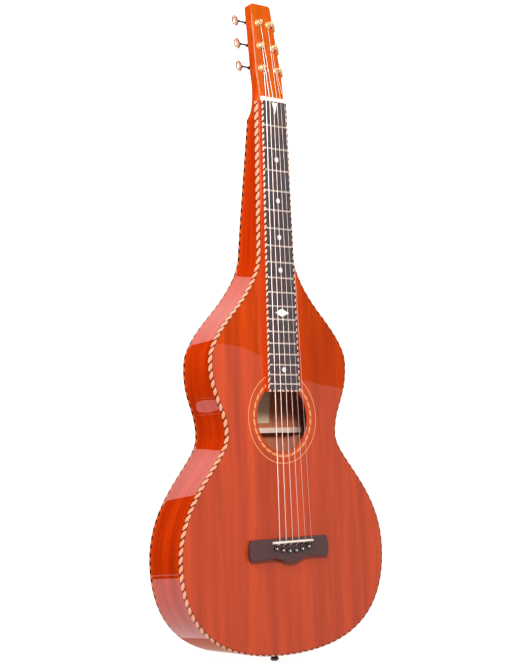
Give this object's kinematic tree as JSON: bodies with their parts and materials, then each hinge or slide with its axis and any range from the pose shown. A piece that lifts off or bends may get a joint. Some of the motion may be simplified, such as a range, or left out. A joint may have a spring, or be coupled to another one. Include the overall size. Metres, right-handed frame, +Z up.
{
  "type": "hawaiian slide guitar",
  "caption": "Acoustic lap steel guitar with a hollow neck, round soundhole, fixed bridge, high nut and open worm-gear tuning machines.",
  "frame": {"origin": "on the surface that the guitar lies on, midway along its whole length from the end pin to the headstock's tip, on its centre line", "axes": "+Y along the strings towards the headstock, +X to the treble side, +Z up out of the soundboard"},
  "size_m": [0.3896, 0.9552, 0.09],
  "materials": {
    "soundboard_mahogany": "reddish mahogany with straight grain under high-gloss lacquer",
    "body_mahogany": "orange-red mahogany under high-gloss lacquer",
    "headstock_mahogany": "bright orange mahogany under high-gloss lacquer",
    "inner_mahogany": "bare mahogany, sanded",
    "rope_inlay": "slanted light and dark wood strips, lacquered",
    "maple_line": "pale wood line, lacquered",
    "spruce": "bare spruce, planed",
    "ebony": "dark oiled wood with fine pores",
    "bone": "polished bone",
    "black_horn": "polished black",
    "label_paper": "blank uncoated paper",
    "machine_gold": "gold-plated and polished",
    "plate_gold": "gold-plated pressed plate",
    "string_steel": "drawn plain steel wire",
    "string_bronze": "bronze-wound string"
  },
  "bodies": {
    "guitar": {"soundboard": "soundboard_mahogany", "back_plate": "body_mahogany", "side_bass": "body_mahogany", "side_treble": "body_mahogany", "headstock": "headstock_mahogany", "tail_block": "inner_mahogany", "top_binding": "rope_inlay", "back_binding": "rope_inlay", "fretboard_binding": "rope_inlay", "rosette_rope_ring": "rope_inlay", "rosette_line_ring": "maple_line", "top_lining_bass": "spruce", "top_lining_treble": "spruce", "back_lining_bass": "spruce", "back_lining_treble": "spruce", "back_brace_1": "spruce", "back_brace_2": "spruce", "back_brace_3": "spruce", "upper_brace": "spruce", "x_brace_bass_to_treble": "spruce", "x_brace_treble_to_bass": "spruce", "tone_bar_1": "spruce", "tone_bar_2": "spruce", "bridge_plate": "spruce", "fretboard": "ebony", "bridge": "ebony", "nut": "bone", "saddle": "bone", "end_pin": "black_horn", "bridge_pin_1": "black_horn", "string_1": "string_steel", "bridge_pin_2": "black_horn", "string_2": "string_steel", "bridge_pin_3": "black_horn", "string_3": "string_bronze", "bridge_pin_4": "black_horn", "string_4": "string_bronze", "bridge_pin_5": "black_horn", "string_5": "string_bronze", "bridge_pin_6": "black_horn", "string_6": "string_bronze", "label": "label_paper", "tuner_plate_bass_1": "plate_gold", "tuner_plate_bass_2": "plate_gold", "tuner_plate_bass_3": "plate_gold", "tuner_plate_treble_1": "plate_gold", "tuner_plate_treble_2": "plate_gold", "tuner_plate_treble_3": "plate_gold"},
    "post_bass_1": {"tuner_post_bass_1": "machine_gold"},
    "button_bass_1": {"tuner_button_bass_1": "machine_gold"},
    "post_bass_2": {"tuner_post_bass_2": "machine_gold"},
    "button_bass_2": {"tuner_button_bass_2": "machine_gold"},
    "post_bass_3": {"tuner_post_bass_3": "machine_gold"},
    "button_bass_3": {"tuner_button_bass_3": "machine_gold"},
    "post_treble_1": {"tuner_post_treble_1": "machine_gold"},
    "button_treble_1": {"tuner_button_treble_1": "machine_gold"},
    "post_treble_2": {"tuner_post_treble_2": "machine_gold"},
    "button_treble_2": {"tuner_button_treble_2": "machine_gold"},
    "post_treble_3": {"tuner_post_treble_3": "machine_gold"},
    "button_treble_3": {"tuner_button_treble_3": "machine_gold"}
  },
  "joints": [
    {"name": "button_turn_bass_1", "type": "hinge", "parent": "guitar", "child": "button_bass_1", "pos_m": [-0.0152, 0.38191, 0.04852], "axis": [1, 0, 0], "continuous": true},
    {"name": "post_turn_bass_1", "type": "hinge", "parent": "guitar", "child": "post_bass_1", "pos_m": [-0.0152, 0.37796, 0.06761], "axis": [0, 0.1305, 0.9914], "continuous": true, "deforming": ["string_6"]},
    {"name": "button_turn_bass_2", "type": "hinge", "parent": "guitar", "child": "button_bass_2", "pos_m": [-0.0128, 0.41661, 0.04395], "axis": [1, 0, 0], "continuous": true},
    {"name": "post_turn_bass_2", "type": "hinge", "parent": "guitar", "child": "post_bass_2", "pos_m": [-0.0128, 0.41266, 0.06304], "axis": [0, 0.1305, 0.9914], "continuous": true, "deforming": ["string_5"]},
    {"name": "button_turn_bass_3", "type": "hinge", "parent": "guitar", "child": "button_bass_3", "pos_m": [-0.0104, 0.452, 0.03929], "axis": [1, 0, 0], "continuous": true},
    {"name": "post_turn_bass_3", "type": "hinge", "parent": "guitar", "child": "post_bass_3", "pos_m": [-0.0104, 0.44806, 0.05838], "axis": [0, 0.1305, 0.9914], "continuous": true, "deforming": ["string_4"]},
    {"name": "button_turn_treble_1", "type": "hinge", "parent": "guitar", "child": "button_treble_1", "pos_m": [0.0152, 0.38191, 0.04852], "axis": [1, 0, 0], "continuous": true},
    {"name": "post_turn_treble_1", "type": "hinge", "parent": "guitar", "child": "post_treble_1", "pos_m": [0.0152, 0.37796, 0.06761], "axis": [0, 0.1305, 0.9914], "continuous": true, "deforming": ["string_1"]},
    {"name": "button_turn_treble_2", "type": "hinge", "parent": "guitar", "child": "button_treble_2", "pos_m": [0.0128, 0.41661, 0.04395], "axis": [1, 0, 0], "continuous": true},
    {"name": "post_turn_treble_2", "type": "hinge", "parent": "guitar", "child": "post_treble_2", "pos_m": [0.0128, 0.41266, 0.06304], "axis": [0, 0.1305, 0.9914], "continuous": true, "deforming": ["string_2"]},
    {"name": "button_turn_treble_3", "type": "hinge", "parent": "guitar", "child": "button_treble_3", "pos_m": [0.0104, 0.452, 0.03929], "axis": [1, 0, 0], "continuous": true},
    {"name": "post_turn_treble_3", "type": "hinge", "parent": "guitar", "child": "post_treble_3", "pos_m": [0.0104, 0.44806, 0.05838], "axis": [0, 0.1305, 0.9914], "continuous": true, "deforming": ["string_3"]}
  ],
  "couplings": [
    {"joint": "post_turn_bass_1", "follows": "button_turn_bass_1", "ratio": 0.071429},
    {"joint": "post_turn_bass_2", "follows": "button_turn_bass_2", "ratio": 0.071429},
    {"joint": "post_turn_bass_3", "follows": "button_turn_bass_3", "ratio": 0.071429},
    {"joint": "post_turn_treble_1", "follows": "button_turn_treble_1", "ratio": -0.071429},
    {"joint": "post_turn_treble_2", "follows": "button_turn_treble_2", "ratio": -0.071429},
    {"joint": "post_turn_treble_3", "follows": "button_turn_treble_3", "ratio": -0.071429}
  ]
}
